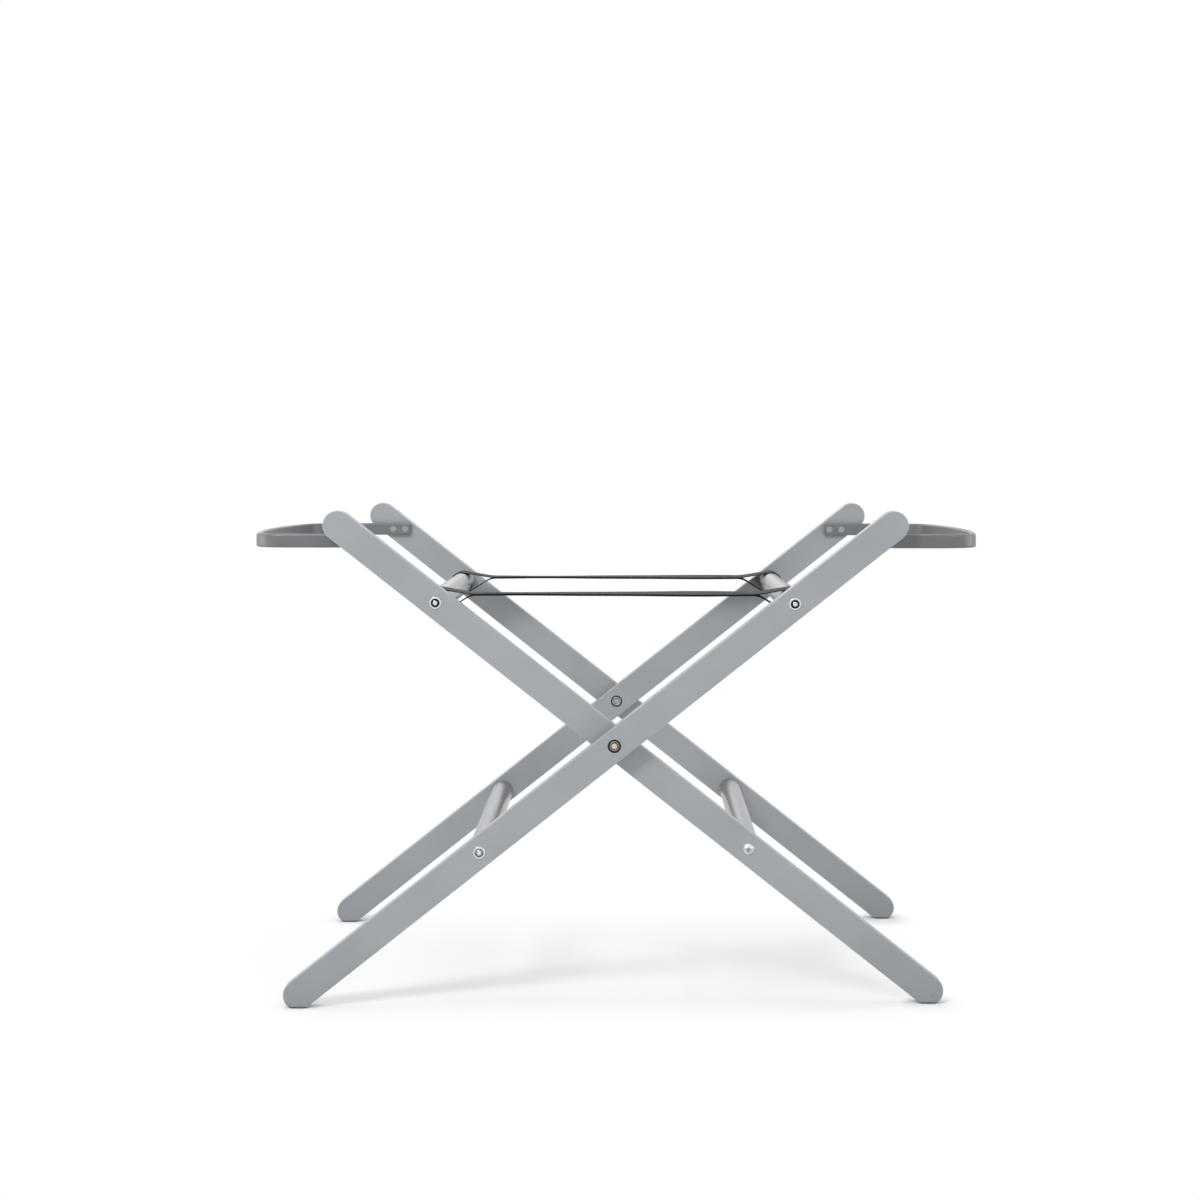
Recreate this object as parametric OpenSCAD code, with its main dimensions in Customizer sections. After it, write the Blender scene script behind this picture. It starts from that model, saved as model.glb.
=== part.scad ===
// Folding stand: two identical scissor frames that cross at one axis.
// Origin on the floor under the pivot, X along the spread of the feet, front at -Y, Z up.
// The left frame is the right frame turned half a turn about Z.

/* [Legs] */
// Width of a leg across its flat face
leg_w = 30; // [26:1:44]
// Thickness of a leg
leg_t = 16; // [14:1:24]
// Radius of the arrises of a leg
leg_edge_r = 1; // [0.5:0.5:4]
// Slope of an open leg above the floor, in degrees
leg_tilt = 38.2; // [32:0.2:50]
// Distance from the pivot to the centre of a leg's top end
top_reach = 356; // [320:1:420]
// Distance from the pivot to the centre of a leg's foot end
foot_reach = 403; // [360:1:460]
// Depth of the flat cut under a foot
foot_cut = 2; // [0.5:0.1:5]

/* [Frames] */
// Clear distance between the inner legs
inner_clear = 342; // [260:1:460]

/* [Rails] */
// Outside diameter of a cross rail
rail_d = 24; // [18:1:25]
// Wall of a cross rail
rail_wall = 1.5; // [1:0.1:2.5]
// Distance from the pivot to an upper rail, along the leg
upper_rail_reach = 230; // [190:1:270]
// Distance from the pivot to a lower rail, along the leg
lower_rail_reach = 172; // [150:1:230]
// Length of the threaded plug in a rail's end
plug_len = 22; // [18:1:40]

/* [Rail bolts] */
// Shank diameter of a rail bolt
bolt_d = 6; // [4:0.5:8]
// Length of bolt inside the plug
bolt_grip = 16; // [8:1:18]
// Diameter of a bolt's domed head
bolt_head_d = 9.2; // [8.5:0.1:11]
// Height of a bolt's domed head
bolt_head_h = 2.6; // [2:0.1:4]
// Width across the flats of a bolt's socket
bolt_socket_w = 4; // [2.5:0.5:5]
// Outside diameter of a cup washer
cup_d = 12.2; // [11.5:0.1:16]
// Thickness of a cup washer
cup_t = 1; // [0.6:0.1:2]
// Diameter of a cross recess screw's pan head
pan_head_d = 12; // [9:0.5:14]
// Height of a cross recess screw's pan head
pan_head_h = 3; // [2.4:0.1:4]
// Span of the cross recess
cross_span = 5.6; // [4:0.2:7]
// Width of one slot of the cross recess
cross_slot_w = 1.2; // [0.8:0.1:1.6]

/* [Pivot] */
// Outside diameter of the pivot sleeve
sleeve_d = 9; // [8:0.5:12]
// Diameter of the pivot bolt's shank
pivot_shank_d = 6; // [4:0.5:6.5]
// Diameter of the heads at both ends of a pivot
pivot_head_d = 11; // [10.5:0.5:16]
// Thickness of the heads at both ends of a pivot
pivot_head_t = 3; // [2.4:0.1:5]
// Gap round a pivot head in its counterbore
pivot_head_gap = 1.2; // [0.5:0.1:2]
// How far a pivot head lies below the leg's face
pivot_head_sink = 0.2; // [0:0.1:1]
// Width across the flats of a pivot head's socket
pivot_socket_w = 4; // [3:0.5:5]
// Length of pivot bolt inside the sleeve
pivot_grip = 20; // [12:1:24]
// Outside diameter of the washer between crossing legs
pivot_washer_d = 24; // [14:1:30]
// Thickness of the washer between crossing legs
pivot_washer_t = 1; // [0.6:0.2:3]

/* [Hoops] */
// Height of a hoop's band
hoop_h = 14; // [12:1:20]
// Thickness of a hoop's band
hoop_t = 5.5; // [4.5:0.5:8]
// Radius of the band's long edges
hoop_edge_r = 2; // [0.5:0.5:2.2]
// Outer radius of a hoop's corners
hoop_corner_r = 32; // [24:1:110]
// Outer radius of a hoop's bowed end
hoop_end_r = 900; // [260:5:1200]
// Length of the straight part of a hoop's arm
hoop_arm_len = 91; // [31:1:120]
// Length of a hoop's arm behind the middle of its leg tops
hoop_lap = 13; // [12:1:18]
// Drop of a hoop's centre line below the leg's top end centre
hoop_drop = 16; // [10:1:40]

/* [Hoop screws] */
// Shank diameter of a hoop screw
hoop_screw_d = 3.5; // [3:0.5:4]
// Head diameter of a hoop screw
hoop_screw_head_d = 7; // [6:0.5:8]
// Length of hoop screw inside the leg
hoop_screw_grip = 11; // [6:1:12]
// Distance between a hoop arm's two screws
hoop_screw_pitch = 14; // [10:1:15]
// Width of one slot of a hoop screw's cross recess
hoop_slot_w = 0.8; // [0.5:0.1:1]

/* [Straps] */
// Width of a strap
strap_w = 38; // [20:1:50]
// Thickness of one layer of strap
strap_t = 1; // [0.6:0.1:2]
// Gap between a strap and the inner leg beside it
strap_inset = 4; // [2:1:30]
// Height of the sewn run above the upper rails' centre line
strap_rise = 6.6; // [0:0.2:10]
// Distance from an upper rail to where the layers are sewn together
strap_split = 34; // [28:1:90]

/* [Clearances] */
// Running gap round the pivot sleeve and the pivot bolt
pivot_fit = 0.05; // [0.02:0.01:0.1]
// Play along the pivot between head and counterbore
pivot_play = 0.2; // [0.1:0.1:0.4]
// Gap round a plug in its rail, and round a bolt in its plug
plug_fit = 0.05; // [0.02:0.01:0.1]
// Gap round a bolt in its leg
bolt_hole_fit = 0.2; // [0.1:0.1:0.5]
// Gap round a screw in its leg and hoop
screw_fit = 0.05; // [0.02:0.01:0.2]
// Gap between a strap and the rail inside its loop
strap_fit = 0.3; // [0.2:0.1:0.6]

/* [Hidden] */
$fn = 64;

// Overshoot of a cut past the face it opens
over = 1;

// Heights and places on the leg line
pivot_z = foot_reach * sin(leg_tilt) + leg_w / 2 - foot_cut;
top_z = pivot_z + top_reach * sin(leg_tilt);
hoop_z = top_z - hoop_drop;
hoop_mid_x = (hoop_z - pivot_z) / tan(leg_tilt);
rail_x = upper_rail_reach * cos(leg_tilt);
rail_z = pivot_z + upper_rail_reach * sin(leg_tilt);

// Depths, counted from the middle: inner leg, washer, outer leg
inner_y = inner_clear / 2;
middle_y = inner_y + leg_t;
washer_y = middle_y + pivot_washer_t;
outer_y = washer_y + leg_t;
rail_len = inner_y + washer_y;

// Pivot stack, counted from the face that a head is sunk in
counterbore_d = pivot_head_d + 2 * pivot_head_gap;
counterbore_depth = pivot_head_sink + pivot_head_t + pivot_play;
head_under = pivot_head_sink + pivot_head_t;
stack_len = 2 * leg_t + pivot_washer_t;
sleeve_len = stack_len - 2 * head_under;
pivot_bore_d = sleeve_d + 2 * pivot_fit;
sleeve_bore_d = pivot_shank_d + 2 * pivot_fit;
sleeve_bore_len = pivot_grip + over;
pivot_socket_depth = 0.7 * pivot_head_t;

// Rail hardware
plug_d = rail_d - 2 * rail_wall - 2 * plug_fit;
plug_bore_d = bolt_d + 2 * plug_fit;
bolt_hole_d = bolt_d + 2 * bolt_hole_fit;
bolt_socket_depth = 0.7 * bolt_head_h;
cross_depth = 0.6 * pan_head_h;

// Centre lines of a hoop's arcs: each corner turns by what the bowed end leaves of a right angle
hoop_half_w = rail_len / 2;
hoop_mid_y = inner_y - hoop_half_w;
hoop_arm_x = hoop_mid_x - hoop_lap;
corner_x = hoop_arm_x + hoop_arm_len;
bow_angle = asin((hoop_half_w - hoop_corner_r) / (hoop_end_r - hoop_corner_r));
bow_x = corner_x - (hoop_end_r - hoop_corner_r) * cos(bow_angle);

// Each corner is a hair smaller than the band and runs a little into the lengths beside it
corner_trim = 0.1;
corner_lap = atan(over / hoop_corner_r);

// Hoop screws
screw_hole_d = hoop_screw_d + 2 * screw_fit;
screw_head_len = (hoop_screw_head_d - hoop_screw_d) / 2;
screw_places = [hoop_mid_x - hoop_screw_pitch / 2, hoop_mid_x + hoop_screw_pitch / 2];
screw_cross_span = 0.7 * hoop_screw_head_d;
screw_cross_depth = 0.6 * screw_head_len;

// Strap loops
loop_in_r = rail_d / 2 + strap_fit;
loop_out_r = loop_in_r + strap_t;
split_x = rail_x - strap_split;
strap_z = rail_z + strap_rise;
strap_y = inner_y - strap_inset - strap_w / 2;

// Colours
leg_grey = [0.64, 0.66, 0.68];
rail_silver = [0.73, 0.73, 0.74];
hoop_grey = [0.44, 0.45, 0.46];
bolt_nickel = [0.80, 0.80, 0.80];
pivot_bronze = [0.55, 0.47, 0.36];
nut_grey = [0.55, 0.56, 0.58];
nylon_grey = [0.35, 0.36, 0.38];
strap_black = [0.14, 0.15, 0.16];

// Helpers

// The opposite frame's copy of what it is given
module half_turn() {
    rotate([0, 0, 180])
        children();
}

// Local X runs up a right frame leg from the pivot
module on_leg_line() {
    translate([0, 0, pivot_z])
        rotate([0, -leg_tilt, 0])
            children();
}

// Local Z becomes +Y
module facing_back() {
    rotate([-90, 0, 0])
        children();
}

// Local Z becomes -Y
module facing_front() {
    rotate([90, 0, 0])
        children();
}

// Rectangle with rounded corners, its low corner at the origin
module rounded_rect(w, h, r) {
    translate([r, 0])
        square([w - 2 * r, h]);
    translate([0, r])
        square([w, h - 2 * r]);
    for (x = [r, w - r], y = [r, h - r])
        translate([x, y])
            circle(r);
}

// Hexagonal prism by its width across the flats
module hex_prism(width, depth) {
    cylinder(d = width / cos(30), h = depth, $fn = 6);
}

// Two crossed slots
module cross_slots(span, width, depth) {
    for (turn = [0, 90])
        rotate([0, 0, turn])
            translate([-span / 2, -width / 2, 0])
                cube([span, width, depth]);
}

// Dome of a given base diameter and height, standing on Z = 0
module dome(d, h) {
    sphere_r = (d * d / 4 + h * h) / (2 * h);
    rotate_extrude()
        intersection() {
            square([d / 2, h]);
            translate([0, h - sphere_r])
                circle(sphere_r, $fn = 128);
        }
}

// Legs

// Half of a leg's round end, on the side that turn gives
module leg_end(turn) {
    facing_back()
        rotate([0, 0, turn])
            rotate_extrude(angle = 180)
                intersection() {
                    translate([-leg_w / 2, 0])
                        rounded_rect(leg_w, leg_t, leg_edge_r);
                    square([leg_w, leg_t]);
                }
}

// Leg on its own line, with the pivot head's face at Y = 0
module leg_blank() {
    translate([-foot_reach, 0, 0])
        rotate([90, 0, 90])
            linear_extrude(foot_reach + top_reach)
                translate([0, -leg_w / 2])
                    rounded_rect(leg_t, leg_w, leg_edge_r);
    translate([top_reach, 0, 0])
        leg_end(-90);
    translate([-foot_reach, 0, 0])
        leg_end(90);
}

// Pivot bore, counterbore and rail bolt holes of a leg
module leg_holes() {
    translate([0, -over, 0])
        facing_back() {
            cylinder(d = pivot_bore_d, h = leg_t + 2 * over);
            cylinder(d = counterbore_d, h = counterbore_depth + over);
        }
    for (x = [upper_rail_reach, -lower_rail_reach])
        translate([x, -over, 0])
            facing_back()
                cylinder(d = bolt_hole_d, h = leg_t + 2 * over);
}

// Everything below the floor, as wide as a leg can reach
module under_floor() {
    reach = foot_reach + top_reach + leg_w;
    translate([-reach, -outer_y, -reach])
        cube([2 * reach, 2 * outer_y, reach]);
}

// Leg of the right frame with its pivot face at y, and the hoop's pilot holes from hoop_y
module right_leg(y, hoop_y) {
    color(leg_grey)
        difference() {
            translate([0, y, 0])
                on_leg_line()
                    leg_blank();
            translate([0, y, 0])
                on_leg_line()
                    leg_holes();
            for (x = screw_places)
                translate([x, hoop_y, hoop_z])
                    pilot_hole(hoop_y);
            under_floor();
        }
}

// Blind hole that runs away from the middle of the stand
module pilot_hole(y) {
    rotate([y < 0 ? 90 : -90, 0, 0])
        translate([0, 0, -over])
            cylinder(d = screw_hole_d, h = hoop_screw_grip + 2 * over);
}

module right_frame_front_leg() {
    right_leg(-outer_y, -washer_y);
}

module right_frame_back_leg() {
    right_leg(inner_y, inner_y);
}

module left_frame_front_leg() {
    half_turn()
        right_frame_back_leg();
}

module left_frame_back_leg() {
    half_turn()
        right_frame_front_leg();
}

// Rails and their hardware

// Tube of the right frame, from the outer leg to the inner leg, at a reach along the leg line
module right_rail(reach) {
    color(rail_silver)
        on_leg_line()
            translate([reach, -washer_y, 0])
                facing_back()
                    difference() {
                        cylinder(d = rail_d, h = rail_len);
                        translate([0, 0, -over])
                            cylinder(d = rail_d - 2 * rail_wall, h = rail_len + 2 * over);
                    }
}

// Places what it is given at both ends of a right frame rail.
// Z = 0 is the leg's outer face, and Z runs towards the rail.
module at_rail_ends(reach) {
    on_leg_line()
        translate([reach, 0, 0]) {
            translate([0, -outer_y, 0])
                facing_back()
                    children();
            translate([0, middle_y, 0])
                facing_front()
                    children();
        }
}

// Threaded plug, flush with the rail's end
module rail_plug() {
    translate([0, 0, leg_t])
        difference() {
            cylinder(d = plug_d, h = plug_len);
            translate([0, 0, -over])
                cylinder(d = plug_bore_d, h = plug_len + 2 * over);
        }
}

// Cup washer on the leg's outer face, with a rounded rim
module cup_washer() {
    translate([0, 0, -cup_t])
        rotate_extrude()
            translate([bolt_hole_d / 2, 0]) {
                square([(cup_d - bolt_hole_d) / 2 - cup_t / 2, cup_t]);
                translate([(cup_d - bolt_hole_d) / 2 - cup_t / 2, cup_t / 2])
                    circle(cup_t / 2);
            }
}

// Domed bolt with a hexagonal socket, seated on its cup washer
module rail_bolt() {
    translate([0, 0, -cup_t]) {
        cylinder(d = bolt_d, h = cup_t + leg_t + bolt_grip);
        mirror([0, 0, 1])
            difference() {
                dome(bolt_head_d, bolt_head_h);
                translate([0, 0, bolt_head_h - bolt_socket_depth])
                    hex_prism(bolt_socket_w, bolt_socket_depth + over);
            }
    }
}

// Pan head screw with a cross recess, seated on the leg
module cross_screw() {
    cylinder(d = bolt_d, h = leg_t + bolt_grip);
    mirror([0, 0, 1])
        difference() {
            dome(pan_head_d, pan_head_h);
            translate([0, 0, pan_head_h - cross_depth])
                cross_slots(cross_span, cross_slot_w, cross_depth + over);
        }
}

module right_upper_rail() {
    right_rail(upper_rail_reach);
}

module right_lower_rail() {
    right_rail(-lower_rail_reach);
}

module left_upper_rail() {
    half_turn()
        right_upper_rail();
}

module left_lower_rail() {
    half_turn()
        right_lower_rail();
}

module right_rail_plugs() {
    color(nut_grey)
        for (reach = [upper_rail_reach, -lower_rail_reach])
            at_rail_ends(reach)
                rail_plug();
}

module left_rail_plugs() {
    half_turn()
        right_rail_plugs();
}

module right_rail_bolts() {
    color(bolt_nickel)
        for (reach = [upper_rail_reach, -lower_rail_reach])
            at_rail_ends(reach)
                rail_bolt();
}

module right_rail_washers() {
    color(bolt_nickel)
        for (reach = [upper_rail_reach, -lower_rail_reach])
            at_rail_ends(reach)
                cup_washer();
}

module left_rail_bolts() {
    color(bolt_nickel)
        half_turn()
            at_rail_ends(upper_rail_reach)
                rail_bolt();
}

module left_rail_washers() {
    color(bolt_nickel)
        half_turn()
            at_rail_ends(upper_rail_reach)
                cup_washer();
}

module left_lower_rail_screws() {
    color(bolt_nickel)
        half_turn()
            at_rail_ends(-lower_rail_reach)
                cross_screw();
}

// Hoops

// Section of the band, smaller by trim on every side: thickness along X, height along Y
module hoop_section(trim) {
    translate([trim, trim - hoop_h / 2])
        rounded_rect(hoop_t - 2 * trim, hoop_h - 2 * trim, hoop_edge_r);
}

// Straight arm of the right hoop with its outer face at y, inward the way the band's thickness grows
module hoop_arm(y, inward) {
    translate([hoop_arm_x, y, hoop_z])
        mirror([0, inward > 0 ? 0 : 1, 0])
            rotate([90, 0, 90])
                linear_extrude(hoop_arm_len)
                    hoop_section(0);
}

// Bent length of the right hoop: outer radius r round a centre, between two angles
module hoop_bend(centre, r, from, to, trim) {
    translate([centre[0], centre[1], hoop_z])
        rotate([0, 0, from])
            rotate_extrude(angle = to - from, $fn = 256)
                translate([r - hoop_t, 0])
                    hoop_section(trim);
}

// Corner of the right hoop round a centre at y
module hoop_corner(y, from, to) {
    hoop_bend([corner_x, y], hoop_corner_r, from - corner_lap, to + corner_lap, corner_trim);
}

// Screw hole with its countersink, Z from the arm's inner face towards the leg
module hoop_screw_hole() {
    cylinder(d = screw_hole_d, h = hoop_t + over);
    cylinder(d1 = hoop_screw_head_d + 2 * screw_fit, d2 = screw_hole_d, h = screw_head_len);
    translate([0, 0, -over])
        cylinder(d = hoop_screw_head_d + 2 * screw_fit, h = over);
}

// Places what it is given at the right hoop's screws, Z from the arm's inner face towards the leg
module at_hoop_screws() {
    for (x = screw_places) {
        translate([x, -washer_y + hoop_t, hoop_z])
            facing_front()
                children();
        translate([x, inner_y - hoop_t, hoop_z])
            facing_back()
                children();
    }
}

module right_hoop() {
    color(hoop_grey)
        difference() {
            union() {
                hoop_arm(-washer_y, 1);
                hoop_corner(-washer_y + hoop_corner_r, -90, -bow_angle);
                hoop_bend([bow_x, hoop_mid_y], hoop_end_r, -bow_angle, bow_angle, 0);
                hoop_corner(inner_y - hoop_corner_r, bow_angle, 90);
                hoop_arm(inner_y, -1);
            }
            at_hoop_screws()
                hoop_screw_hole();
        }
}

module left_hoop() {
    half_turn()
        right_hoop();
}

// Countersunk screw, Z from the arm's inner face towards the leg
module hoop_screw() {
    difference() {
        union() {
            cylinder(d = hoop_screw_d, h = hoop_t + hoop_screw_grip);
            cylinder(d1 = hoop_screw_head_d, d2 = hoop_screw_d, h = screw_head_len);
        }
        translate([0, 0, -over])
            cross_slots(screw_cross_span, hoop_slot_w, over + screw_cross_depth);
    }
}

module right_hoop_screws() {
    color(bolt_nickel)
        at_hoop_screws()
            hoop_screw();
}

module left_hoop_screws() {
    half_turn()
        right_hoop_screws();
}

// Pivots

// Front pivot line: Z = 0 on the outer leg's outer face, Z towards the middle
module on_front_pivot() {
    translate([0, -outer_y, pivot_z])
        facing_back()
            children();
}

// Head with a hexagonal socket in its outer face, from Z = 0 to its thickness
module pivot_head() {
    difference() {
        cylinder(d = pivot_head_d, h = pivot_head_t);
        translate([0, 0, -over])
            hex_prism(pivot_socket_w, pivot_socket_depth + over);
    }
}

module front_pivot_bolt() {
    color(pivot_bronze)
        on_front_pivot()
            translate([0, 0, pivot_head_sink]) {
                pivot_head();
                translate([0, 0, pivot_head_t])
                    cylinder(d = pivot_shank_d, h = pivot_grip);
            }
}

module back_pivot_bolt() {
    half_turn()
        front_pivot_bolt();
}

module front_pivot_sleeve_nut() {
    color(nut_grey)
        on_front_pivot()
            difference() {
                union() {
                    translate([0, 0, head_under])
                        cylinder(d = sleeve_d, h = sleeve_len);
                    translate([0, 0, stack_len - pivot_head_sink])
                        mirror([0, 0, 1])
                            pivot_head();
                }
                translate([0, 0, head_under - over])
                    cylinder(d = sleeve_bore_d, h = sleeve_bore_len + over);
            }
}

module back_pivot_sleeve_nut() {
    half_turn()
        front_pivot_sleeve_nut();
}

module front_pivot_washer() {
    color(nylon_grey)
        on_front_pivot()
            translate([0, 0, leg_t])
                difference() {
                    cylinder(d = pivot_washer_d, h = pivot_washer_t);
                    translate([0, 0, -over])
                        cylinder(d = pivot_bore_d, h = pivot_washer_t + 2 * over);
                }
}

module back_pivot_washer() {
    half_turn()
        front_pivot_washer();
}

// Straps

// Angle round the right upper rail that faces the seam
seam_angle = atan2(strap_rise, -strap_split);

// Angle where a layer from the seam meets its loop, above for side 1, below for -1
function touch_angle(side) = seam_angle - side * acos(loop_in_r / norm([strap_split, strap_rise]));

// Turn of a loop round its rail, in so many steps
loop_sweep = 360 - touch_angle(-1) + touch_angle(1);
loop_steps = 48;

// Point at a radius and angle round the right upper rail
function loop_point(r, angle) = [rail_x + r * cos(angle), rail_z + r * sin(angle)];

// Corner between the face of the sewn run and the outer face of a layer
function run_corner(side) =
    let (angle = touch_angle(side), face_rise = strap_rise + side * strap_t)
    [rail_x + (loop_out_r - face_rise * sin(angle)) / cos(angle), rail_z + face_rise];

// Arc of a loop, from its upper layer over the far side to its lower layer
function loop_arc(r) =
    [for (i = [0:loop_steps]) loop_point(r, touch_angle(1) - i / loop_steps * loop_sweep)];

// The same outline on the other side of the stand's middle, run the other way
function mirrored(points) = [for (i = [len(points) - 1:-1:0]) [-points[i][0], points[i][1]]];

// Right half of a strap's outline, from the upper face of the run to its lower face
right_outline = concat([run_corner(1)], loop_arc(loop_out_r), [run_corner(-1)]);

// Room inside the right loop, from the seam round the rail
loop_room = concat([[split_x, strap_z]], loop_arc(loop_in_r));

module front_strap() {
    color(strap_black)
        translate([0, -strap_y + strap_w / 2, 0])
            facing_front()
                linear_extrude(strap_w)
                    difference() {
                        polygon(concat(right_outline, mirrored(right_outline)));
                        polygon(loop_room);
                        polygon(mirrored(loop_room));
                    }
}

module back_strap() {
    half_turn()
        front_strap();
}

left_frame_front_leg();
left_frame_back_leg();
right_frame_front_leg();
right_frame_back_leg();
left_upper_rail();
left_lower_rail();
right_upper_rail();
right_lower_rail();
left_rail_plugs();
right_rail_plugs();
left_rail_bolts();
left_lower_rail_screws();
right_rail_bolts();
left_rail_washers();
right_rail_washers();
left_hoop();
right_hoop();
left_hoop_screws();
right_hoop_screws();
front_pivot_bolt();
back_pivot_bolt();
front_pivot_sleeve_nut();
back_pivot_sleeve_nut();
front_pivot_washer();
back_pivot_washer();
front_strap();
back_strap();
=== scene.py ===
"""Folding scissor stand: painted legs, drawn metal rails, powder-coated hoops and sewn webbing straps."""

import math

import bmesh
import bpy
from mathutils import Matrix, Vector


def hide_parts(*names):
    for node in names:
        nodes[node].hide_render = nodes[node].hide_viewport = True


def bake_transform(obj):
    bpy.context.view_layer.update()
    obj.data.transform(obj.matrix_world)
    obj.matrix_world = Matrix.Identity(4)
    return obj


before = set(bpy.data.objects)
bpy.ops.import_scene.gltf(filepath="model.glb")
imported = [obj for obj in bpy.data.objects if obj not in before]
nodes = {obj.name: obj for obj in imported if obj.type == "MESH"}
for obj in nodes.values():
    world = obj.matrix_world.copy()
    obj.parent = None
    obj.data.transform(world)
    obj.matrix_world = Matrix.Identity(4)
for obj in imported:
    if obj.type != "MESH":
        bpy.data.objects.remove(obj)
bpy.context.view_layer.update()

# Sizes of the stand, in metres, as the part's source gives them
LEG_TILT = math.radians(38.2)
LEG_W = 0.030
LEG_T = 0.016
LEG_EDGE_R = 0.001
TOP_REACH = 0.356
FOOT_REACH = 0.403
FOOT_CUT = 0.002
PIVOT_Z = FOOT_REACH * math.sin(LEG_TILT) + LEG_W / 2 - FOOT_CUT
INNER_Y = 0.171
PIVOT_WASHER_T = 0.001
INNER_LEG_Y = INNER_Y + LEG_T / 2
OUTER_LEG_Y = INNER_LEG_Y + LEG_T + PIVOT_WASHER_T
UPPER_RAIL_REACH = 0.230
LOWER_RAIL_REACH = 0.172
RAIL_D = 0.024
COUNTERBORE_R = 0.0067
FOOT_X = FOOT_REACH * math.cos(LEG_TILT)
RAIL_X = UPPER_RAIL_REACH * math.cos(LEG_TILT)
RAIL_Z = PIVOT_Z + UPPER_RAIL_REACH * math.sin(LEG_TILT)
LOWER_RAIL_X = LOWER_RAIL_REACH * math.cos(LEG_TILT)
LOWER_RAIL_Z = PIVOT_Z - LOWER_RAIL_REACH * math.sin(LEG_TILT)

# Sizes of the straps
STRAP_W = 0.038
STRAP_T = 0.001
STRAP_INSET = 0.004
STRAP_RISE = 0.0066
STRAP_SPLIT = 0.034
STRAP_FIT = 0.0003
STRAP_Y = INNER_Y - STRAP_INSET - STRAP_W / 2
STRAP_Z = RAIL_Z + STRAP_RISE
SEAM_X = RAIL_X - STRAP_SPLIT
LOOP_R = RAIL_D / 2 + STRAP_FIT + STRAP_T / 2


# Finishes

# Depths from a leg's faces between which its paint thins and takes a painted highlight, where scuffs start
# above its foot centre, and the heights between which the edge of its sole darkens
EDGE_BAND = (1.2 * LEG_EDGE_R, 0.3 * LEG_EDGE_R)
SCUFF_START = 0.004
SOLE_BAND = (0.0026, 0.0010)

# Bands on the fastener heads, by distance from the axis: where a tone starts, and where it is full.
# Painted shade on the pivot's edge and the screw's slots and rim, a painted highlight on the pivot's socket
PIVOT_EDGE = (0.0048, 0.0052)
PIVOT_SOCKET = (0.0028, 0.0023)
PIVOT_SPOT = (0.0008, 0.0004)
SCREW_SLOT = (0.0009, 0.0006)
SCREW_SLOT_END = (0.0035, 0.0030)
SCREW_RIM = (0.0053, 0.0058)

# Rings on the fastener heads: inner and outer radius.
# Painted shade in the pivot's groove and the bolt's ring; the pivot's rim is relief
PIVOT_GROOVE = (0.0030, 0.0038)
PIVOT_RIM = (0.0042, 0.0047)
PIVOT_RIM_SOFT = 0.0006
PIVOT_RIM_H = 0.0007
BOLT_RING = (0.00225, 0.0045)
RING_SOFT = 0.0003

# Spacing of the webbing's ribs across it and of its weft along it
RIB_PITCH = 0.0019
PICK_PITCH = 0.0026


def tone(r, g, b):
    """Linear colour of a tone read off a screen, 0 to 255."""
    linear = [(c / 255 / 12.92) if c < 11 else ((c / 255 + 0.055) / 1.055) ** 2.4 for c in (r, g, b)]
    return (*linear, 1.0)


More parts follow.
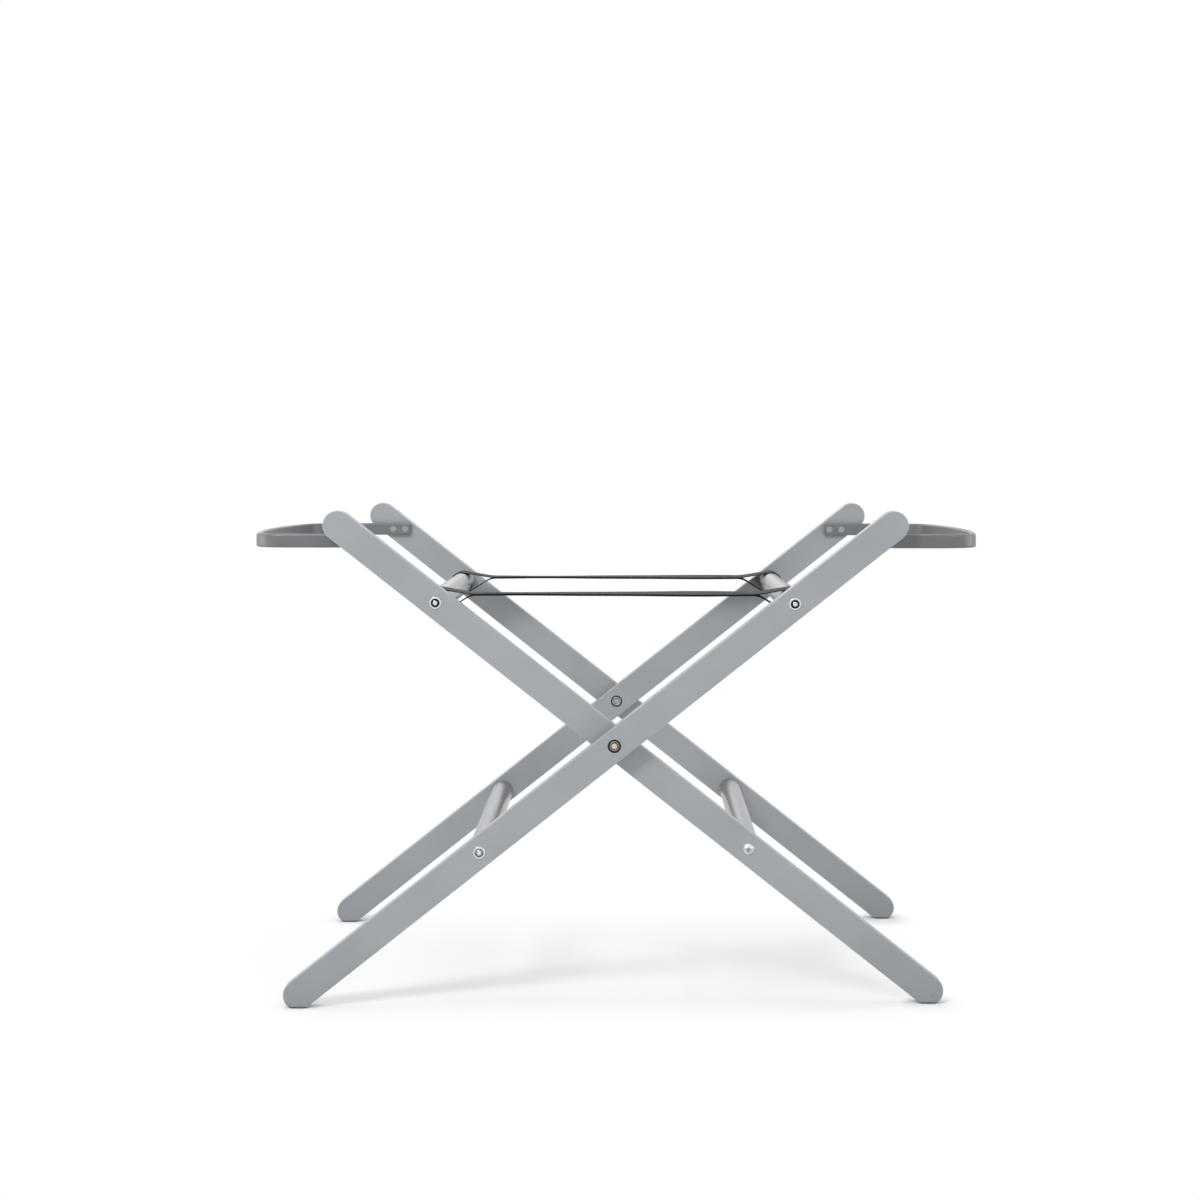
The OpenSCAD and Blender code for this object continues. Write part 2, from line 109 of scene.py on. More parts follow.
class Finish:
    """A material under construction, with short ways to add and join its nodes."""

    def __init__(self, name):
        self.material = bpy.data.materials.new(name)
        self.material.use_nodes = True
        self.tree = self.material.node_tree
        self.shader = self.tree.nodes["Principled BSDF"]
        self.coords = self.tree.nodes.new("ShaderNodeTexCoord")

    def link(self, source, target):
        self.tree.links.new(source, target)

    def set(self, **sockets):
        """Sets the shader's own sockets, such as base_color or roughness."""
        for name, value in sockets.items():
            self.shader.inputs[name.replace("_", " ").title().replace("Ior", "IOR")].default_value = value

    def place(self, source, location=(0, 0, 0), turn_y=0.0, scale=(1, 1, 1)):
        """Coordinates scaled, turned about Y and moved."""
        node = self.tree.nodes.new("ShaderNodeMapping")
        node.inputs["Location"].default_value = location
        node.inputs["Rotation"].default_value = (0, turn_y, 0)
        node.inputs["Scale"].default_value = scale
        self.link(source, node.inputs["Vector"])
        return node.outputs["Vector"]

    def noise(self, vector, scale, detail=3.0, roughness=0.5):
        node = self.tree.nodes.new("ShaderNodeTexNoise")
        node.inputs["Scale"].default_value = scale
        node.inputs["Detail"].default_value = detail
        node.inputs["Roughness"].default_value = roughness
        self.link(vector, node.inputs["Vector"])
        return node.outputs["Fac"]

    def split(self, vector):
        node = self.tree.nodes.new("ShaderNodeSeparateXYZ")
        self.link(vector, node.inputs["Vector"])
        return node.outputs["X"], node.outputs["Y"], node.outputs["Z"]

    def maths(self, operation, a, b=None):
        node = self.tree.nodes.new("ShaderNodeMath")
        node.operation = operation
        for socket, value in zip(node.inputs, (a, b)):
            if value is None:
                continue
            if isinstance(value, (int, float)):
                socket.default_value = value
            else:
                self.link(value, socket)
        return node.outputs["Value"]

    def length(self, a, b):
        """Length of a line that runs a one way and b square to it."""
        squares = [self.maths("POWER", side, 2.0) for side in (a, b)]
        return self.maths("SQRT", self.maths("ADD", *squares))

    def ramp(self, value, low, high, start=0.0, end=1.0):
        """Value taken smoothly from start at low to end at high, held beyond them."""
        node = self.tree.nodes.new("ShaderNodeMapRange")
        node.interpolation_type = "SMOOTHSTEP"
        for name, number in (("From Min", low), ("From Max", high), ("To Min", start), ("To Max", end)):
            node.inputs[name].default_value = number
        self.link(value, node.inputs["Value"])
        return node.outputs["Result"]

    def blend(self, share, first, second):
        """Colour from first to second as share goes from 0 to 1."""
        node = self.tree.nodes.new("ShaderNodeMix")
        node.data_type = "RGBA"
        self.link(share, node.inputs["Factor"])
        # The node's colours are its inputs 6 and 7 and its output 2
        for socket, value in zip(node.inputs[6:8], (first, second)):
            if isinstance(value, tuple):
                socket.default_value = value
            else:
                self.link(value, socket)
        return node.outputs[2]

    def bump(self, height, depth, strength=1.0, below=None):
        """Relief of a given depth in metres, on top of the relief below it."""
        node = self.tree.nodes.new("ShaderNodeBump")
        node.inputs["Strength"].default_value = strength
        node.inputs["Distance"].default_value = depth
        self.link(height, node.inputs["Height"])
        if below is not None:
            self.link(below, node.inputs["Normal"])
        return node.outputs["Normal"]

    def finish(self, color, roughness=None, normal=None):
        for name, value in (("Base Color", color), ("Roughness", roughness), ("Normal", normal)):
            if value is not None:
                self.link(value, self.shader.inputs[name])
        return self.material


def leg_paint(name, turn, middle_y):
    """Satin grey paint on wood, its grain along a leg that lies at the angle turn, thin paint and a painted
    highlight on the arrises.
    """
    f = Finish(name)
    to_pivot = (-PIVOT_Z * math.sin(turn), 0, -PIVOT_Z * math.cos(turn))
    along = f.place(f.coords.outputs["Object"], to_pivot, turn)
    x, y, z = f.split(along)
    grain = f.noise(f.place(along, scale=(9, 520, 520)), 1.0, 4.0, 0.6)
    cloud = f.noise(along, 14.0, 2.0)
    peel = f.noise(along, 950.0, 1.0)
    # Distance from the line between the two end centres, which is the same all along the outline
    past_end = f.maths(
        "SUBTRACT",
        f.maths("ABSOLUTE", f.maths("SUBTRACT", x, (TOP_REACH - FOOT_REACH) / 2)),
        (TOP_REACH + FOOT_REACH) / 2,
    )
    past_end = f.maths("MAXIMUM", past_end, 0.0)
    from_line = f.length(past_end, z)
    from_middle = f.maths("ABSOLUTE", f.maths("SUBTRACT", y, middle_y))
    # Lighter arrises: the paint is thinner there, and a painted highlight is laid on it
    edge_wear_and_highlight = f.maths(
        "MULTIPLY",
        f.ramp(from_line, *[LEG_W / 2 - depth for depth in EDGE_BAND]),
        f.ramp(from_middle, *[LEG_T / 2 - depth for depth in EDGE_BAND]),
    )
    scuffs = f.maths(
        "MULTIPLY",
        f.ramp(x, -FOOT_REACH + SCUFF_START, -FOOT_REACH - LEG_W / 2),
        f.ramp(f.noise(along, 260.0, 5.0, 0.7), 0.5, 0.72),
    )
    # Painted shade: inside the counterbore round the pivot the paint is darkened as if in shadow
    counterbore_painted_shade = f.ramp(f.length(x, z), COUNTERBORE_R + RING_SOFT, COUNTERBORE_R - RING_SOFT)
    body = f.blend(f.ramp(cloud, 0.3, 0.7), tone(159, 164, 168), tone(165, 169, 173))
    body = f.blend(f.ramp(grain, 0.62, 0.86, 0.0, 0.14), body, tone(146, 151, 155))
    body = f.blend(f.maths("MULTIPLY", edge_wear_and_highlight, 0.3), body, tone(196, 199, 201))
    body = f.blend(f.maths("MULTIPLY", scuffs, 0.5), body, tone(112, 113, 114))
    height = f.split(f.coords.outputs["Object"])[2]
    body = f.blend(f.ramp(height, *SOLE_BAND, 0.0, 0.8), body, tone(64, 64, 65))
    body = f.blend(counterbore_painted_shade, body, tone(26, 25, 24))
    relief = f.bump(grain, 0.00005, 0.4)
    relief = f.bump(peel, 0.00002, 0.3, relief)
    rough = f.maths("ADD", f.ramp(cloud, 0.3, 0.7, 0.34, 0.4), f.ramp(grain, 0.4, 0.8, 0.0, 0.05))
    f.set(specular_ior_level=0.42)
    return f.finish(body, rough, relief)


def rail_metal(name):
    """Satin drawn tube with faint lines along its length."""
    f = Finish(name)
    spot = f.coords.outputs["Object"]
    lines = f.noise(f.place(spot, scale=(900, 7, 900)), 1.0, 3.0, 0.6)
    haze = f.noise(spot, 26.0, 3.0)
    body = f.blend(f.ramp(haze, 0.3, 0.7), tone(148, 148, 150), tone(154, 154, 156))
    body = f.blend(f.ramp(lines, 0.55, 0.8, 0.0, 0.2), body, tone(136, 136, 139))
    rough = f.maths("ADD", f.ramp(haze, 0.3, 0.7, 0.29, 0.32), f.ramp(lines, 0.4, 0.8, 0.0, 0.03))
    f.set(metallic=0.85)
    return f.finish(body, rough, f.bump(lines, 0.000004, 0.1))


def hoop_powder(name):
    """Dark grey powder coat with its fine pebbled skin."""
    f = Finish(name)
    spot = f.coords.outputs["Object"]
    pebbles = f.noise(spot, 1300.0, 2.0, 0.55)
    cloud = f.noise(spot, 18.0, 2.0)
    body = f.blend(f.ramp(cloud, 0.3, 0.7), tone(103, 105, 107), tone(111, 113, 116))
    body = f.blend(f.ramp(pebbles, 0.55, 0.8, 0.0, 0.3), body, tone(126, 128, 130))
    f.set(specular_ior_level=0.55)
    return f.finish(body, f.ramp(pebbles, 0.3, 0.7, 0.3, 0.42), f.bump(pebbles, 0.00005, 0.45))


def plated(name, bright, dull, rough):
    """Plated metal with a slightly uneven, finely scratched skin."""
    f = Finish(name)
    spot = f.coords.outputs["Object"]
    mottle = f.noise(spot, 420.0, 4.0, 0.6)
    scratches = f.noise(f.place(spot, scale=(2600, 300, 700)), 1.0, 2.0)
    f.set(metallic=1.0)
    return f.finish(
        f.blend(f.ramp(mottle, 0.35, 0.7), bright, dull),
        f.ramp(mottle, 0.3, 0.7, rough, rough + 0.12),
        f.bump(scratches, 0.00001, 0.3),
    )


def from_axis(f, centre_x, centre_z):
    """Distance from a line along Y."""
    x, _, z = f.split(f.coords.outputs["Object"])
    return f.length(f.maths("SUBTRACT", x, centre_x), f.maths("SUBTRACT", z, centre_z))


def ring_between(f, radius, inner, outer, soft=RING_SOFT):
    """1 between two radii, falling softly to 0 on both sides."""
    return f.maths(
        "MULTIPLY",
        f.ramp(radius, inner - soft, inner + soft),
        f.ramp(radius, outer + soft, outer - soft),
    )


def ringed_pivot(name, bright, dull, painted_shade, centre, spot, rough):
    """Plated pivot head with a raised rim, painted shade in the groove inside it and round its edge, and a
    painted highlight on its socket.
    """
    f = Finish(name)
    radius = from_axis(f, 0.0, PIVOT_Z)
    mottle = f.noise(f.coords.outputs["Object"], 620.0, 4.0, 0.6)
    body = f.blend(f.ramp(mottle, 0.35, 0.7), bright, dull)
    # Painted shade in the groove inside the rim
    body = f.blend(f.maths("MULTIPLY", ring_between(f, radius, *PIVOT_GROOVE), 0.9), body, painted_shade)
    # Painted shade round the head's edge, next to the shadowed gap of the counterbore
    body = f.blend(f.ramp(radius, *PIVOT_EDGE), body, painted_shade)
    # Painted highlight on the socket floor, which lies in shade
    body = f.blend(f.ramp(radius, *PIVOT_SOCKET), body, centre)
    body = f.blend(f.ramp(radius, *PIVOT_SPOT), body, spot)
    rim = f.bump(ring_between(f, radius, *PIVOT_RIM, PIVOT_RIM_SOFT), PIVOT_RIM_H)
    f.set(metallic=0.85)
    return f.finish(body, f.ramp(mottle, 0.3, 0.7, rough, rough + 0.12), rim)


def ringed_bolt(name, side):
    """Bright plated bolt, its domed head darkened with painted shade in a ring round its socket, less below
    the pivot.
    """
    f = Finish(name)
    radius = f.maths(
        "MINIMUM",
        from_axis(f, side * RAIL_X, RAIL_Z),
        from_axis(f, -side * LOWER_RAIL_X, LOWER_RAIL_Z),
    )
    mottle = f.noise(f.coords.outputs["Object"], 700.0, 4.0, 0.6)
    # Painted shade in a ring round the socket, weaker on the lower bolts as if lit from the floor below
    ring = ring_between(f, radius, *BOLT_RING)
    body = f.blend(f.ramp(mottle, 0.3, 0.7), tone(228, 228, 227), tone(208, 208, 208))
    height = f.split(f.coords.outputs["Object"])[2]
    painted_shade = f.ramp(height, LOWER_RAIL_Z, RAIL_Z, 0.76, 1.0)
    body = f.blend(f.maths("MULTIPLY", ring, painted_shade), body, tone(32, 32, 33))
    f.set(metallic=1.0)
    return f.finish(body, f.ramp(mottle, 0.3, 0.7, 0.16, 0.28))


def crossed_screw(name):
    """Bright plated pan head, with painted shade in its cross recess and round its rim."""
    f = Finish(name)
    x, _, z = f.split(f.coords.outputs["Object"])
    along = f.maths("ABSOLUTE", f.maths("SUBTRACT", x, LOWER_RAIL_X))
    up = f.maths("ABSOLUTE", f.maths("SUBTRACT", z, LOWER_RAIL_Z))
    radius = from_axis(f, LOWER_RAIL_X, LOWER_RAIL_Z)
    mottle = f.noise(f.coords.outputs["Object"], 700.0, 4.0, 0.6)
    body = f.blend(f.ramp(mottle, 0.3, 0.7), tone(212, 213, 215), tone(196, 197, 200))
    # Painted shade in the cross recess
    slot_painted_shade = f.ramp(f.maths("MINIMUM", along, up), *SCREW_SLOT)
    slot_painted_shade = f.maths("MULTIPLY", slot_painted_shade, f.ramp(radius, *SCREW_SLOT_END))
    body = f.blend(f.maths("MULTIPLY", slot_painted_shade, 0.65), body, tone(112, 113, 115))
    # Painted shade round the rim
    body = f.blend(f.ramp(radius, *SCREW_RIM, 0.0, 0.6), body, tone(128, 130, 133))
    f.set(metallic=1.0)
    return f.finish(body, f.ramp(mottle, 0.3, 0.7, 0.32, 0.42))


def nylon(name):
    """Matte moulded washer."""
    f = Finish(name)
    grain = f.noise(f.coords.outputs["Object"], 1500.0, 2.0)
    body = f.blend(grain, tone(88, 90, 93), tone(104, 106, 109))
    f.set(roughness=0.6)
    return f.finish(body, None, f.bump(grain, 0.00002, 0.4))


def webbing_weave(name):
    """Black woven webbing: ribs of warp along it, crossed by the weft, read from its map in metres."""
    f = Finish(name)
    u, v, _ = f.split(f.coords.outputs["UV"])
    rib = f.maths("MULTIPLY", v, 1 / RIB_PITCH)
    row = f.maths("FLOOR", rib)
    pick = f.maths("ADD", f.maths("MULTIPLY", u, 1 / PICK_PITCH), f.maths("MULTIPLY", row, 0.5))
    rib_round = f.maths("ABSOLUTE", f.maths("SINE", f.maths("MULTIPLY", rib, math.pi)))
    pick_round = f.maths("ABSOLUTE", f.maths("SINE", f.maths("MULTIPLY", pick, math.pi)))
    weave = f.maths("MULTIPLY", f.maths("POWER", rib_round, 0.6), f.maths("POWER", pick_round, 0.5))
    fibre = f.noise(f.place(f.coords.outputs["UV"], scale=(600, 5200, 1)), 1.0, 3.0, 0.65)
    worn = f.noise(f.coords.outputs["UV"], 38.0, 3.0)
    body = f.blend(f.ramp(weave, 0.1, 0.9), tone(12, 12, 14), tone(34, 35, 38))
    body = f.blend(f.ramp(fibre, 0.55, 0.85, 0.0, 0.4), body, tone(62, 64, 68))
    body = f.blend(f.ramp(worn, 0.5, 0.8, 0.0, 0.2), body, tone(54, 55, 58))
    relief = f.bump(weave, 0.00035, 0.8)
    relief = f.bump(fibre, 0.00006, 0.5, relief)
    f.set(sheen_weight=0.06, sheen_roughness=0.4, specular_ior_level=0.22)
    return f.finish(body, f.ramp(fibre, 0.3, 0.8, 0.62, 0.8), relief)


def sewing_thread(name):
    """Twisted nylon thread, a little lighter than the webbing."""
    f = Finish(name)
    twist = f.noise(f.place(f.coords.outputs["Object"], scale=(1800, 1800, 1800)), 1.0, 2.0)
    body = f.blend(f.ramp(twist, 0.35, 0.65), tone(48, 49, 52), tone(72, 73, 76))
    f.set(roughness=0.6, sheen_weight=0.05)
    return f.finish(body, None, f.bump(twist, 0.00006, 0.5))


def dress_solids():
    """Gives every solid its finish, but for the two straps, which are hidden and drawn anew."""
    right, left = LEG_TILT, math.pi - LEG_TILT
    hoop_coat = hoop_powder("hoop_powder_coat")
    tube = rail_metal("rail_satin_tube")
    zinc = plated("zinc_plate", tone(172, 174, 177), tone(148, 150, 154), 0.3)
    nickel = plated("nickel_plate", tone(226, 226, 226), tone(208, 208, 209), 0.18)
    bronze = ringed_pivot(
        "antique_bronze", bright=tone(150, 141, 130), dull=tone(120, 111, 101), painted_shade=tone(42, 38, 33),
        centre=tone(228, 220, 210), spot=tone(132, 123, 112), rough=0.22,
    )
    sleeve = ringed_pivot(
        "sleeve_zinc", bright=tone(178, 182, 187), dull=tone(158, 162, 167), painted_shade=tone(78, 81, 86),
        centre=tone(184, 188, 193), spot=tone(184, 188, 193), rough=0.3,
    )
    washer = nylon("pivot_nylon")
    finishes = {
        "right_frame_front_leg": leg_paint("right_front_leg_paint", right, -OUTER_LEG_Y),
        "right_frame_back_leg": leg_paint("right_back_leg_paint", right, INNER_LEG_Y),
        "left_frame_front_leg": leg_paint("left_front_leg_paint", left, -INNER_LEG_Y),
        "left_frame_back_leg": leg_paint("left_back_leg_paint", left, OUTER_LEG_Y),
        "left_rail_bolts": ringed_bolt("left_bolt_plate", -1),
        "right_rail_bolts": ringed_bolt("right_bolt_plate", 1),
        "left_lower_rail_screws": crossed_screw("cross_screw_plate"),
    }
    for side in ("left", "right"):
        finishes[side + "_upper_rail"] = tube
        finishes[side + "_lower_rail"] = tube
        finishes[side + "_rail_plugs"] = zinc
        finishes[side + "_rail_washers"] = nickel
        finishes[side + "_hoop"] = hoop_coat
        finishes[side + "_hoop_screws"] = zinc
    for end in ("front", "back"):
        finishes[end + "_pivot_bolt"] = bronze
        finishes[end + "_pivot_sleeve_nut"] = sleeve
        finishes[end + "_pivot_washer"] = washer
    for name, material in finishes.items():
        solid = nodes[name].data
        solid.materials.clear()
        solid.materials.append(material)


# Straps, with their sewing

# Half the length over which a layer bends away at the seam, and the steps along, round and across a strap
SEAM_EASE = 0.006
RUN_STEP = 0.003
LOOP_STEPS = 44
ACROSS_STEPS = 12

# Slight twists of the run: the middle of each along X, and its angle
TWISTS = ((-0.10, math.radians(1.5)), (0.085, math.radians(-2.1)))
TWIST_SPREAD = 0.05

# One stitch, with half the length of its straight middle and the dip of its ends
STITCH_LEN = 0.0026
STITCH_PITCH = 0.0034
STITCH_R = 0.0003
STITCH_SIDES = 6
STITCH_FLAT = 0.0007
STITCH_DIP = 0.00032

# Sewn boxes, and their distance from the webbing's edges and seams
BOX_LEN = 0.030
BOX_MARGIN = 0.004


def touch_angle(side):
    """Angle round the right upper rail where the upper (1) or lower (-1) layer meets the loop."""
    seam = math.atan2(STRAP_RISE, -STRAP_SPLIT)
    reach = math.hypot(STRAP_RISE, STRAP_SPLIT)
    return seam - side * math.acos((LOOP_R - STRAP_T / 2) / reach)


def on_loop(angle):
    """Point of the middle line round the right upper rail."""
    return RAIL_X + LOOP_R * math.cos(angle), RAIL_Z + LOOP_R * math.sin(angle)


def layer(side):
    """Points of one layer's middle line from the centre of the run to the loop."""
    angle = touch_angle(side)
    slope = -1 / math.tan(angle)
    end_x, end_z = on_loop(angle)
    run_z = end_z + slope * (SEAM_X - end_x)
    points = []
    count = round(end_x / RUN_STEP)
    for i in range(count):
        x = end_x * i / count
        eased = x - (SEAM_X - SEAM_EASE)
        if eased <= 0:
            rise = 0.0
        elif x < SEAM_X + SEAM_EASE:
            rise = slope * eased**2 / (4 * SEAM_EASE)
        else:
            rise = slope * (x - SEAM_X)
        points.append((x, run_z + rise))
    return points


def strap_line():
    """Closed middle line of a strap: over the right rail, back below, and round the left rail."""
    top, low = touch_angle(1), touch_angle(-1)
    sweep = 2 * math.pi - (low - top)
    upper, lower = layer(1), layer(-1)
    arc = [on_loop(top - sweep * i / LOOP_STEPS) for i in range(LOOP_STEPS + 1)]
    right = upper + arc + lower[::-1]
    left = [(-x, z) for x, z in right[::-1]]
    return right + left[1:-1]


def twisted(point):
    """A point of a strap after the slight twists of its run."""
    x, y, z = point
    angle = sum(turn * math.exp(-(((x - middle) / TWIST_SPREAD) ** 2)) for middle, turn in TWISTS)
    dy, dz = y + STRAP_Y, z - STRAP_Z
    c, s = math.cos(angle), math.sin(angle)
    return x, -STRAP_Y + dy * c + dz * s, STRAP_Z - dy * s + dz * c


def webbing_section():
    """Outline of the webbing across its width: (across, out of its middle), with rounded selvedges."""
    half, thick = STRAP_W / 2, STRAP_T / 2
    flat = half - thick
    upper = [(-flat + 2 * flat * i / ACROSS_STEPS, thick) for i in range(ACROSS_STEPS + 1)]
    turns = (math.pi / 4, math.pi / 2, 3 * math.pi / 4)
    right = [(flat + thick * math.sin(a), thick * math.cos(a)) for a in turns]
    lower = [(-a, -o) for a, o in upper]
    left = [(-a, -o) for a, o in right]
    return upper + right + lower + left


def new_piece(name, bm, material):
    """A finished piece from a mesh in the making, smooth but for its sharp edges."""
    mesh = bpy.data.meshes.new(name)
    bm.to_mesh(mesh)
    bm.free()
    mesh.materials.append(material)
    piece = bpy.data.objects.new(name, mesh)
    bpy.context.scene.collection.objects.link(piece)
    bpy.ops.object.select_all(action="DESELECT")
    bpy.context.view_layer.objects.active = piece
    piece.select_set(True)
    bpy.ops.object.shade_smooth_by_angle(angle=math.radians(50))
    piece.select_set(False)
    return piece


def webbing(name, material, half_turn):
    """One closed length of webbing, woven flat and sewn to itself between the rails."""
    line, section = strap_line(), webbing_section()
    count, ring = len(line), len(section)
    bm = bmesh.new()
    uv = bm.loops.layers.uv.new("weave")
    rows, lengths, walked = [], [], 0.0
    for i, (x, z) in enumerate(line):
        before, after = Vector(line[i - 1]), Vector(line[(i + 1) % count])
        along = (after - before).normalized()
        out = (-along.y, along.x)
        rows.append(
            [bm.verts.new(twisted((x + out[0] * o, -STRAP_Y + a, z + out[1] * o))) for a, o in section]
        )
        lengths.append(walked)
        walked += (Vector(line[(i + 1) % count]) - Vector((x, z))).length
    lengths.append(walked)
    for i in range(count):
        for j in range(ring):
            k = (j + 1) % ring
            here, there = rows[i], rows[(i + 1) % count]
            face = bm.faces.new((here[j], here[k], there[k], there[j]))
            spots = (
                (lengths[i], section[j][0]), (lengths[i], section[k][0]),
                (lengths[i + 1], section[k][0]), (lengths[i + 1], section[j][0]),
            )
            for corner, spot in zip(face.loops, spots):
                corner[uv].uv = spot
    if half_turn:
        bmesh.ops.rotate(bm, verts=bm.verts, cent=(0, 0, 0), matrix=Matrix.Rotation(math.pi, 3, "Z"))
    bmesh.ops.recalc_face_normals(bm, faces=bm.faces)
    return new_piece(name, bm, material), walked


def stitch_rows():
    """Ends of the sewn lines: a box with a cross in it near each end of the run."""
    far = SEAM_X - SEAM_EASE - BOX_MARGIN
    near = far - BOX_LEN
    half = STRAP_W / 2 - BOX_MARGIN
    corners = [(near, -half), (far, -half), (far, half), (near, half)]
    lines = [(corners[i], corners[(i + 1) % 4]) for i in range(4)]
    lines += [(corners[0], corners[2]), (corners[1], corners[3])]
    return lines + [((-a[0], a[1]), (-b[0], b[1])) for a, b in lines]


def stitch_shape():
    """One stitch along X: a thread that dips into the webbing at both ends."""
    bpy.ops.object.select_all(action="DESELECT")
    bpy.ops.mesh.primitive_cylinder_add(vertices=STITCH_SIDES, radius=STITCH_R, depth=STITCH_LEN)
    stitch = bpy.context.object
    bpy.ops.object.mode_set(mode="EDIT")
    bpy.ops.mesh.select_all(action="SELECT")
    bpy.ops.mesh.subdivide(number_cuts=1)
    for cut in (STITCH_FLAT, -STITCH_FLAT):
        bpy.ops.mesh.select_all(action="SELECT")
        bpy.ops.mesh.bisect(plane_co=(0, 0, cut), plane_no=(0, 0, 1))
    bpy.ops.object.mode_set(mode="OBJECT")
    bm = bmesh.new()
    bm.from_mesh(stitch.data)
    bmesh.ops.rotate(bm, verts=bm.verts, cent=(0, 0, 0), matrix=Matrix.Rotation(math.pi / 2, 3, "Y"))
    for v in bm.verts:
        past = max(abs(v.co.x) - STITCH_FLAT, 0.0) / (STITCH_LEN / 2 - STITCH_FLAT)
        v.co.z -= STITCH_DIP * past**2
    shape = bpy.data.meshes.new("stitch")
    bm.to_mesh(shape)
    bm.free()
    bpy.data.objects.remove(stitch)
    return shape


def stitches(name, material, half_turn):
    """The sewing on both faces of a strap's run."""
    shape = stitch_shape()
    upper_z, lower_z = layer(1)[0][1] + STRAP_T / 2, layer(-1)[0][1] - STRAP_T / 2
    bm = bmesh.new()
    for (ax, ay), (bx, by) in stitch_rows():
        length, turn = math.hypot(bx - ax, by - ay), math.atan2(by - ay, bx - ax)
        count = max(int(length / STITCH_PITCH), 1)
        for i in range(count):
            share = (i + 0.5) / count
            x, y = ax + (bx - ax) * share, ay + (by - ay) * share
            for z, flip in ((upper_z, 0.0), (lower_z, math.pi)):
                start = len(bm.verts)
                bm.from_mesh(shape)
                bm.verts.ensure_lookup_table()
                spot = Matrix.Translation((x, -STRAP_Y + y, z)) @ Matrix.Rotation(turn, 4, "Z")
                spot = spot @ Matrix.Rotation(flip, 4, "X")
                for v in bm.verts[start:]:
                    v.co = twisted(spot @ v.co)
    if half_turn:
        bmesh.ops.rotate(bm, verts=bm.verts, cent=(0, 0, 0), matrix=Matrix.Rotation(math.pi, 3, "Z"))
    return new_piece(name, bm, material)


def hang_straps():
    """Both straps with their sewing, drawn in place of the part's own straps, which are hidden."""
    weave, thread = webbing_weave("strap_weave"), sewing_thread("strap_thread")
    for end, half_turn in (("front", False), ("back", True)):
        strap, length = webbing(end + "_strap_webbing", weave, half_turn)
        sewing = stitches(end + "_strap_stitching", thread, half_turn)
        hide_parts(end + "_strap")
        for piece in (strap, sewing):
            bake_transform(piece)


# Studio

# How much of the floor's shade shows round the stand, its middle along X, and where it fades out
SHADOW_SHARE = 0.75
POOL_X = -0.06
SIDE_FADE = (0.29, 0.42)
FRONT_FADE = (-0.27, -0.17)
BACK_FADE = (-0.08, 0.27)

# Distances from a foot between which its own shadow fades, and the share of white right at the foot
CONTACT_FADE = (0.014, 0.045)
CONTACT_SHARE = 0.1

# Distances from a foot between which the light that the floor throws back grows, and its share at the foot
BOUNCE_FADE = (0.06, 0.18)
FOOT_BOUNCE = 0.65

FLOOR_R = 40
WORLD_LIGHT = 0.28


def where_seen(tree):
    """1 for what the camera, a reflection or a pane sees, 0 for what only lights."""
    light = tree.nodes.new("ShaderNodeLightPath")
    seen = light.outputs["Is Camera Ray"]
    for way in ("Is Glossy Ray", "Is Transmission Ray"):
        either = tree.nodes.new("ShaderNodeMath")
        either.operation = "MAXIMUM"
        tree.links.new(seen, either.inputs[0])
        tree.links.new(light.outputs[way], either.inputs[1])
        seen = either.outputs["Value"]
    return seen


def floor():
    """Pale floor that keeps the shadow near the stand and fades to white further off."""
    bpy.ops.object.select_all(action="DESELECT")
    bpy.ops.mesh.primitive_circle_add(vertices=96, radius=FLOOR_R, fill_type="NGON", location=(0, 0, 0))
    ground = bpy.context.object
    ground.name = "studio_floor"
    f = Finish("studio_floor_white")
    f.set(roughness=0.8, specular_ior_level=0.0)
    x, y, _ = f.split(f.coords.outputs["Object"])
    aside = f.maths("ABSOLUTE", x)
    seen = where_seen(f.tree)
    white = f.tree.nodes.new("ShaderNodeEmission")
    fade = f.tree.nodes.new("ShaderNodeMixShader")
    from_pool = f.maths("ABSOLUTE", f.maths("SUBTRACT", x, POOL_X))
    kept = f.maths("MULTIPLY", f.ramp(from_pool, *SIDE_FADE, 1.0, 0.0), f.ramp(y, *FRONT_FADE))
    kept = f.maths("MULTIPLY", kept, f.ramp(y, *BACK_FADE, 1.0, 0.0))
    share = f.maths("SUBTRACT", 1.0, f.maths("MULTIPLY", kept, SHADOW_SHARE))
    # The shadow that touches each foot stays
    foot_dx = f.maths("SUBTRACT", aside, FOOT_X)
    foot_dy = f.maths("SUBTRACT", f.maths("ABSOLUTE", y), INNER_Y + LEG_T)
    from_foot = f.length(foot_dx, foot_dy)
    share = f.maths("MINIMUM", share, f.ramp(from_foot, *CONTACT_FADE, CONTACT_SHARE, 1.0))
    # Round a foot the floor throws less light back on the stand
    thrown_back = f.ramp(from_foot, *BOUNCE_FADE, FOOT_BOUNCE, 1.0)
    f.link(f.maths("MAXIMUM", thrown_back, seen), f.shader.inputs["Base Color"])
    f.link(f.maths("MULTIPLY", share, seen), fade.inputs["Fac"])
    f.link(f.shader.outputs["BSDF"], fade.inputs[1])
    f.link(white.outputs["Emission"], fade.inputs[2])
    f.link(fade.outputs["Shader"], f.tree.nodes["Material Output"].inputs["Surface"])
    ground.data.materials.append(f.material)


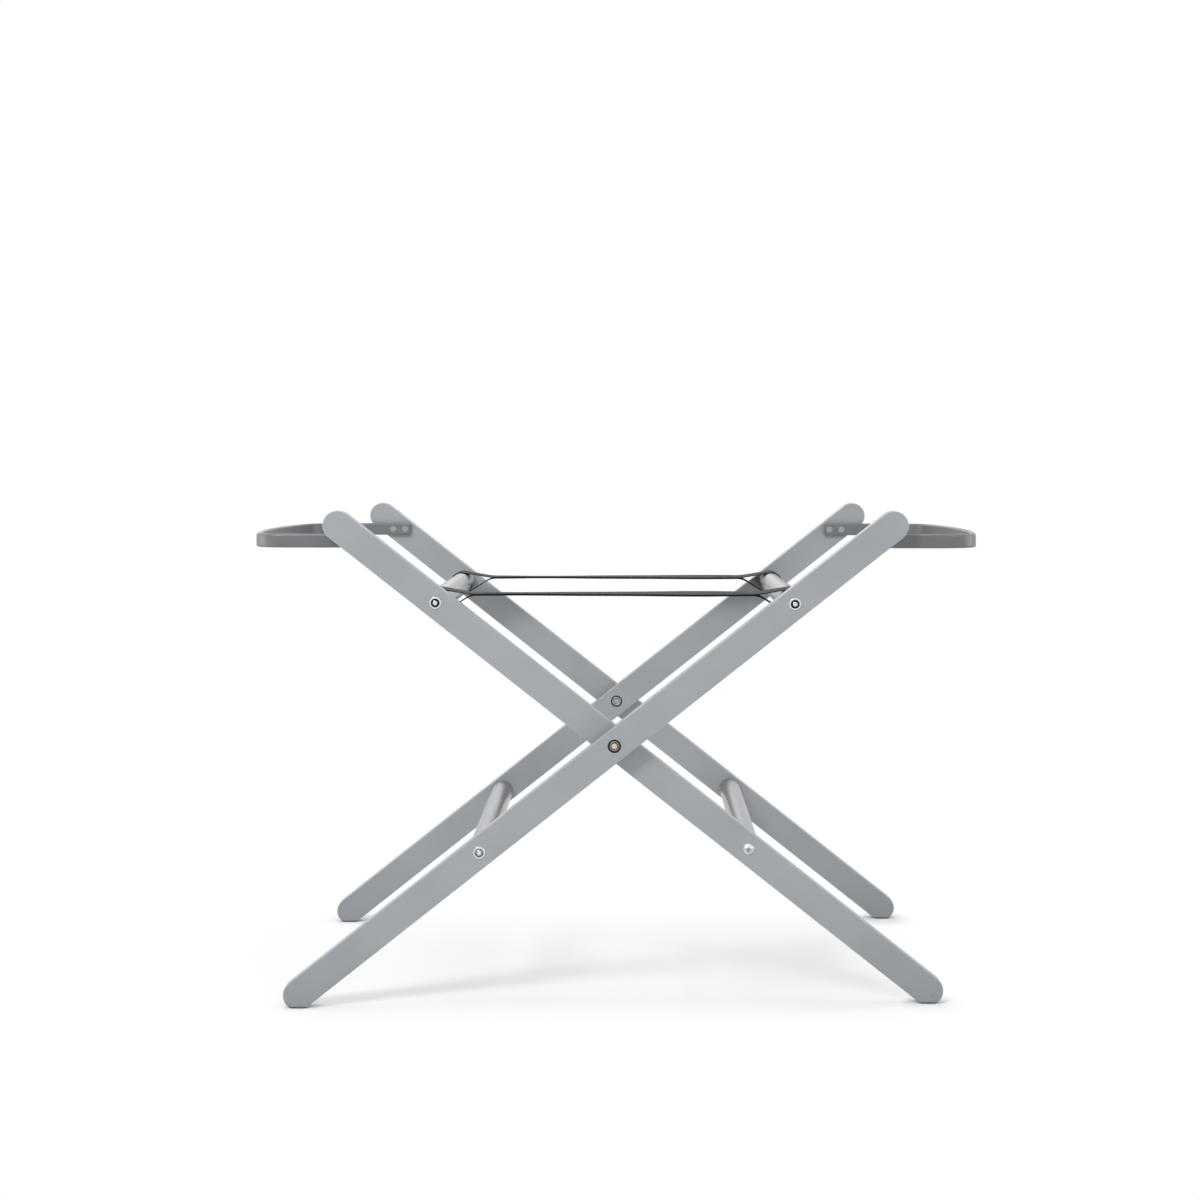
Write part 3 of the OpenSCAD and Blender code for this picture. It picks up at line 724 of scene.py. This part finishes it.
def surroundings():
    """White all round where it is seen, and a softer light where it only lights."""
    world = bpy.data.worlds.new("studio_white")
    bpy.context.scene.world = world
    world.use_nodes = True
    tree = world.node_tree
    tree.nodes.clear()
    lit, seen = tree.nodes.new("ShaderNodeBackground"), tree.nodes.new("ShaderNodeBackground")
    lit.inputs["Color"].default_value = (1, 1, 1, 1)
    lit.inputs["Strength"].default_value = WORLD_LIGHT
    seen.inputs["Color"].default_value = (1, 1, 1, 1)
    seen.inputs["Strength"].default_value = 1.0
    mix = tree.nodes.new("ShaderNodeMixShader")
    tree.links.new(where_seen(tree), mix.inputs["Fac"])
    tree.links.new(lit.outputs["Background"], mix.inputs[1])
    tree.links.new(seen.outputs["Background"], mix.inputs[2])
    out = tree.nodes.new("ShaderNodeOutputWorld")
    tree.links.new(mix.outputs["Shader"], out.inputs["Surface"])


def soft_box(name, place, target, size, power):
    """A square lamp at a place, turned to its target."""
    lamp = bpy.data.lights.new(name, "AREA")
    lamp.shape = "SQUARE"
    lamp.size = size
    lamp.energy = power
    holder = bpy.data.objects.new(name, lamp)
    holder.location = place
    holder.rotation_euler = (Vector(target) - Vector(place)).to_track_quat("-Z", "Y").to_euler()
    bpy.context.scene.collection.objects.link(holder)


def photo_camera():
    """Camera straight in front, a little above the hoops, its frame shifted to the photograph's framing."""
    lens = bpy.data.cameras.new("photo_camera")
    lens.sensor_width = 36.0
    lens.lens = 60.03
    lens.shift_x = -0.0233
    lens.shift_y = -0.1162
    lens.clip_end = 100
    camera = bpy.data.objects.new("photo_camera", lens)
    camera.location = (0.0136, -2.205, 0.548)
    camera.rotation_euler = (math.pi / 2, 0, 0)
    bpy.context.scene.collection.objects.link(camera)
    bpy.context.scene.camera = camera


def studio():
    """Floor, white surroundings, lamps and camera."""
    floor()
    surroundings()
    soft_box("key_soft_box", place=(-1.23, -2.0, 2.31), target=(0, 0, 0.25), size=0.9, power=41)
    soft_box("fill_soft_box", place=(1.5, -2.2, 1.7), target=(0, 0, 0.25), size=1.8, power=10)
    soft_box("overhead_soft_box", place=(0, 0.3, 2.6), target=(0, 0, 0.2), size=2.2, power=20)
    soft_box("left_soft_box", place=(-2.2, 0.1, 0.7), target=(0, 0, 0.4), size=1.0, power=9)
    soft_box("right_soft_box", place=(2.2, 0.1, 0.8), target=(0, 0, 0.4), size=1.0, power=11)
    soft_box("back_soft_box", place=(-0.5, 2.4, 1.9), target=(0, 0, 0.3), size=1.4, power=10)
    photo_camera()
    bpy.context.scene.view_settings.view_transform = "Standard"


dress_solids()
hang_straps()
studio()
